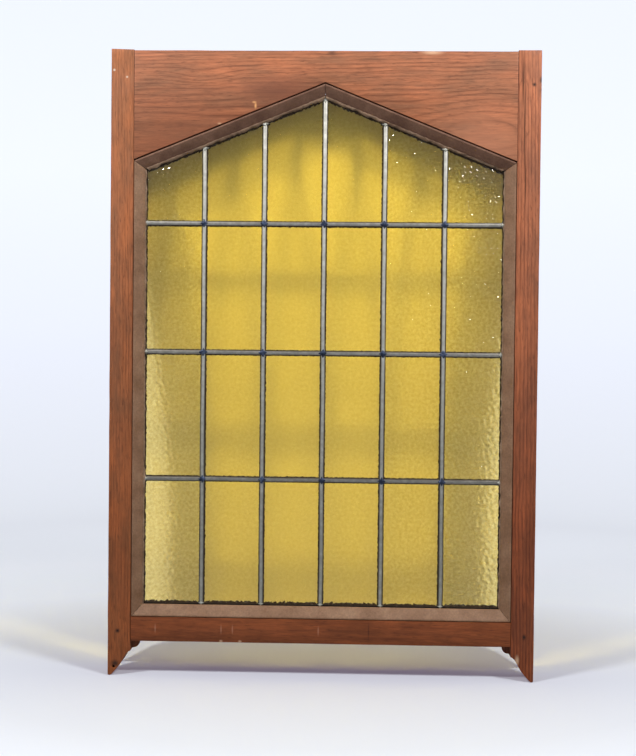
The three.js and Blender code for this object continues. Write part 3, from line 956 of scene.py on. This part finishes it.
def cementShape(row, column, facing, step):
    # A fillet round a pane: each point of its section slides between the corners of the outline
    # moved inwards by its own distance, which is the side's width times 1 + ragged * ripple.
    corners, onBorder = paneCorners(row, column)
    edge = np.roll(corners, -1, 0) - corners
    length = np.linalg.norm(edge, axis=1)
    normal = np.stack([-edge[:, 1], edge[:, 0]], -1) / length[:, None]
    before = np.roll(normal, 1, 0)
    mitre = (before + normal) / (1 + (before * normal).sum(1))[:, None]
    fixed, part, height = np.array(cement["section"]).T
    rings = []
    for side in range(4):
        share = np.arange(0, 1, step / length[side])[:, None]
        towards = normal[side] @ (cement["middle"] - corners[side] - edge[side] / 2)
        width = cement["came"] * (1 + cement["more"] * np.clip(towards / cement["full"], -1, 1))
        if onBorder[side]:
            width = cement["border"][side]
        flat = corners[side] + edge[side] * share
        rough = ripple(flat, cement["wave"], 31 + facing, waves=24)[:, None]
        across = (fixed * mm + part * width * (1 + cement["ragged"] * rough))[..., None]
        first = corners[side] + across * mitre[side]
        last = corners[(side + 1) % 4] + across * mitre[(side + 1) % 4]
        spot = first + (last - first) * share[..., None]
        y = front + lead["glass"] + facing * np.broadcast_to(height * mm, spot.shape[:2])
        rings.append(np.stack([spot[..., 0], y, spot[..., 1]], -1))
    rings = np.concatenate(rings)
    count, size, _ = rings.shape
    return rings.reshape(-1, 3), quads(count, size, closed=True, looped=True)


def oilCement(name, base, pale):
    # Lead light cement, whiting and linseed oil gone black with grate polish: matt and crumbly.
    material, tree, end = newTree(name)
    at = add(tree, "TexCoord", out="Object")
    crumb = add(tree, "TexNoise", {
        "Vector": at, "Scale": 1 / cement["crumb"], "Detail": 3, "Roughness": 0.6})
    tone = add(tree, "ValToRGB", {"Fac": crumb}, stops=[(0.35, linear(base)), (0.75, linear(pale))])
    bump = add(tree, "Bump", {"Height": crumb, "Strength": 0.6, "Distance": cement["relief"]})
    surface = add(tree, "BsdfPrincipled", {
        "Base Color": tone, "Roughness": 0.8, "IOR": 1.5, "Specular IOR Level": 0.2, "Normal": bump})
    tree.links.new(surface, end)
    return material


cementAndShade = oilCement("glazing_cement_and_shade", "#1E150D", "#44331D")
for name, facing, coarser in (("cement_and_shade_front", -1, 1), ("cement_and_shade_back", 1, 2)):
    shapes = [cementShape(row, column, facing, coarser * cement["step"])
              for row in range(4) for column in range(6)]
    addPiece(name, joined(shapes), cementAndShade, "lead_came")
print("lead: done")


# Glass: four rows of six panes
glass = {
    "thickness": 3 * mm,
    "step": 1.3 * mm,
    "wave": 6.6 * mm,        # length of the rolled waves
    "relief": 0.42 * mm,     # and their height, times the column's factor
    "column": (1.1, 0.75, 0.75, 0.75, 1.2, 1.5),        # each column is from its own sheet
    "most": 0.9 * mm,        # the waves stay under the lead's lips
    "play": 0.35 * mm,       # between a pane's sloping edge and the border's heart
    "spot": 3.8 * mm,        # size of the hammering and of its painted mottle
    "hammered": (0.26, 0.12, 0.10, 0.13, 0.22, 0.32),   # how strongly the painted mottle shows in each column
    "dent": 0.7 * mm,        # depth of the hammering in its gloss
}


def paneShape(node, relief):
    # A grid over the pane whose top follows the gable; the front is rolled into small random
    # waves, the rim is straight and the back is flat.
    low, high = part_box(node)
    columns = int((high.x - low.x) / glass["step"])
    rows = int((high.z - low.z) / glass["step"])
    x = np.linspace(low.x, high.x, columns)[None, :]
    bed = sightHeight(x, -(lead["borderWidth"] - lead["heart"]) / 2 + glass["play"])
    top = np.minimum(bed, high.z)
    z = low.z + (top - low.z) * np.linspace(0, 1, rows)[:, None]
    x = np.broadcast_to(x, z.shape)
    flat = np.stack([x, z], -1)
    half = glass["thickness"] / 2
    wave = np.maximum(ripple(flat, glass["wave"], 7, waves=60) * relief, -glass["most"])
    middle = front + lead["glass"]
    near = np.stack([x, middle - half + wave, z], -1).reshape(-1, 3)
    index = np.arange(rows * columns).reshape(rows, columns)
    rim = np.concatenate([index[0, :-1], index[:-1, -1], index[-1, :0:-1], index[:0:-1, 0]])
    far = near[rim] * [1, 0, 1] + [0, middle + half, 0]
    behind = rows * columns + np.arange(len(rim))
    after = np.roll(np.arange(len(rim)), -1)
    walls = np.stack([rim[after], rim, behind, behind[after]], -1).tolist()
    return np.concatenate([near, far]), quads(rows, columns) + walls + [behind.tolist()]


# Rolled cathedral glass, tinted amber through: clear and glossy, one side hammered. Its tint is mottled
# paler and deeper with the hammering, partly for thin and thick spots and partly as painted light and
# shade that the hammering refracts. Light that it lets through takes its colour.
amber, tree, end = newTree("amber_cathedral_glass")
at = add(tree, "TexCoord", out="Object")
at = add(tree, "VectorMath", {0: at, 1: (1, 0, 1)}, operation="MULTIPLY")
hammered = add(tree, "TexNoise", {
    "Vector": at, "Scale": 1 / glass["spot"], "Detail": 1.5, "Roughness": 0.5, "Distortion": 0.4})
bump = add(tree, "Bump", {"Height": hammered, "Strength": 1.0, "Distance": glass["dent"]})
paintedMottle = add(tree, "MapRange", {
    "Value": hammered, "From Min": 0.3, "From Max": 0.7, "To Min": -1.0, "To Max": 1.0})
strong = add(tree, "Attribute", attribute_name="hammered", out="Fac")
paintedMottle = add(tree, "Math", {0: paintedMottle, 1: strong, 2: 0.5}, operation="MULTIPLY_ADD")
tint = add(tree, "Mix", {0: paintedMottle, 6: linear("#FFF7B4"), 7: linear("#DFC86E")}, data_type="RGBA", out=2)
body = add(tree, "BsdfPrincipled", {
    "Base Color": tint, "Roughness": 0.08, "IOR": 1.51, "Transmission Weight": 1.0, "Normal": bump})
passed = add(tree, "BsdfTransparent", {"Color": linear("#F3E38F")})
shadowRay = add(tree, "LightPath", out="Is Shadow Ray")
mixed = add(tree, "MixShader", {0: shadowRay, 1: body, 2: passed})
tree.links.new(mixed, end)

for row in range(4):
    for column in range(6):
        node = f"pane_{row + 1}_{column + 1}"
        shape = paneShape(node, glass["relief"] * glass["column"][column])
        strength = np.full(len(shape[0]), glass["hammered"][column])
        addPiece(f"amber_pane_{row + 1}_{column + 1}", shape, amber, "amber_glass", [node], sharp=60,
                 hammered=strength)
print("glass: done")
